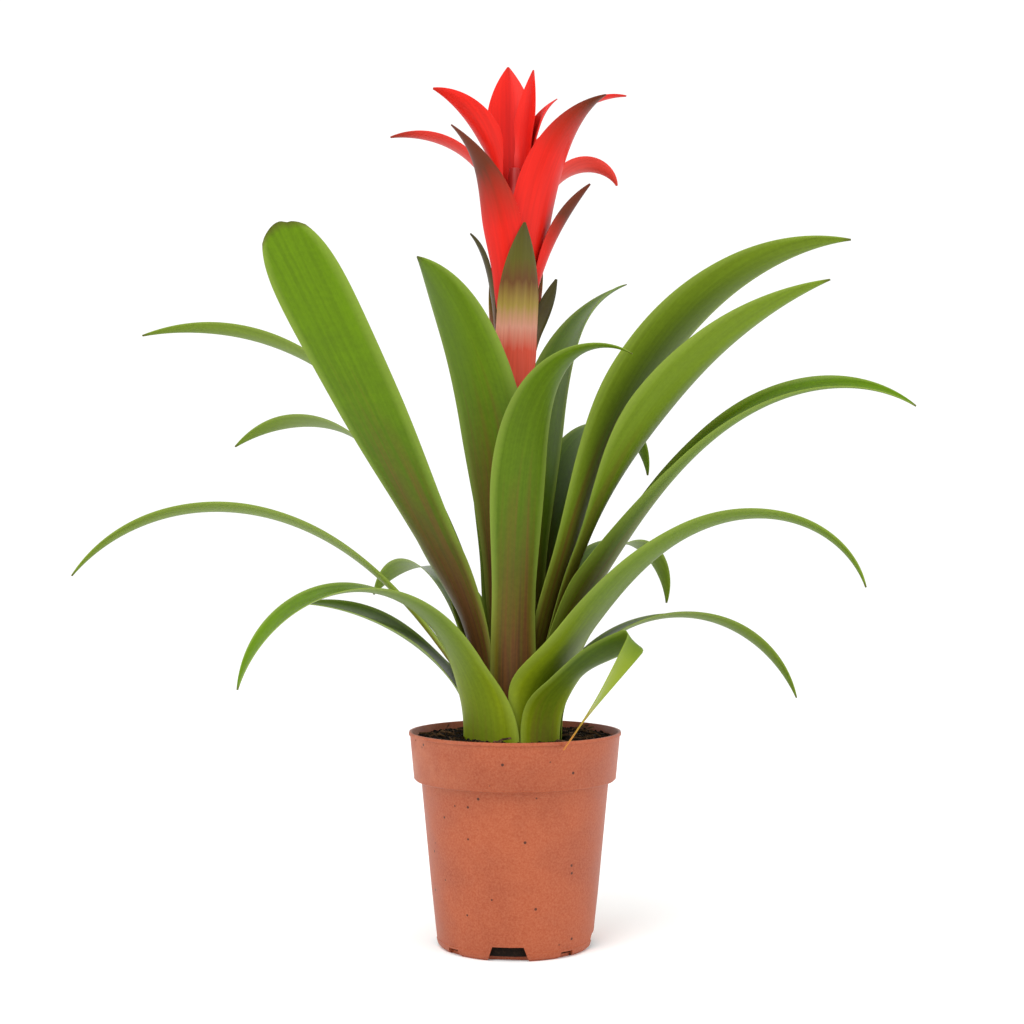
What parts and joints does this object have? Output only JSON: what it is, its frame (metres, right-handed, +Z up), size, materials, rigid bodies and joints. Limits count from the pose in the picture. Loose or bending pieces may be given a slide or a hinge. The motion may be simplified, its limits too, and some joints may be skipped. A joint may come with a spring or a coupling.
{
  "type": "potted guzmania",
  "caption": "Rosette of arching strap leaves with an upright head of pointed red bracts, growing in a tapered nursery pot with a collar.",
  "frame": {"origin": "centre of the pot's underside, on the floor", "axes": "+Z up; +X to the right and -Y towards someone who looks at the front of the plant"},
  "size_m": [0.4638, 0.3083, 0.5016],
  "materials": {
    "pot": "terracotta coloured, fine satin grain",
    "soil": "rough fibrous peat",
    "stem": "smooth green stalk",
    "leaf": "satin green with lengthwise lines, brown towards the base",
    "bract_red": "satin red, some with brown tips",
    "bract_dark": "satin olive green to brown, red at the foot"
  },
  "bodies": {
    "root": {"pot": "pot", "soil": "soil", "flower_stem": "stem", "leaf_low_front_left": "leaf", "leaf_low_front_right": "leaf", "leaf_low_back": "leaf", "leaf_low_left": "leaf", "leaf_low_right": "leaf", "leaf_front_right": "leaf", "leaf_long_left": "leaf", "leaf_back_left": "leaf", "leaf_back_right": "leaf", "leaf_heart_front": "leaf", "leaf_left_tall": "leaf", "leaf_long_right": "leaf", "leaf_back": "leaf", "leaf_left_arch": "leaf", "leaf_left_thin": "leaf", "leaf_back_arch": "leaf", "leaf_right_lower": "leaf", "leaf_right_upper": "leaf", "leaf_tall_back": "leaf", "leaf_heart_left": "leaf", "leaf_heart_back": "leaf", "bract_low_front": "bract_dark", "bract_low_back_left": "bract_dark", "bract_low_right": "bract_dark", "bract_low_left": "bract_dark", "bract_low_back_right": "bract_dark", "bract_left_front": "bract_red", "bract_right_narrow": "bract_red", "bract_right_front": "bract_red", "bract_left_spread": "bract_red", "bract_back_left": "bract_red", "bract_right_arch": "bract_red", "bract_back_right": "bract_red", "bract_upper_left": "bract_red", "bract_upper_right": "bract_red", "bract_top_front": "bract_red", "bract_top_back": "bract_red", "bract_top_right": "bract_red", "bract_top_narrow": "bract_red", "bract_top_left": "bract_red"}
  },
  "joints": []
}
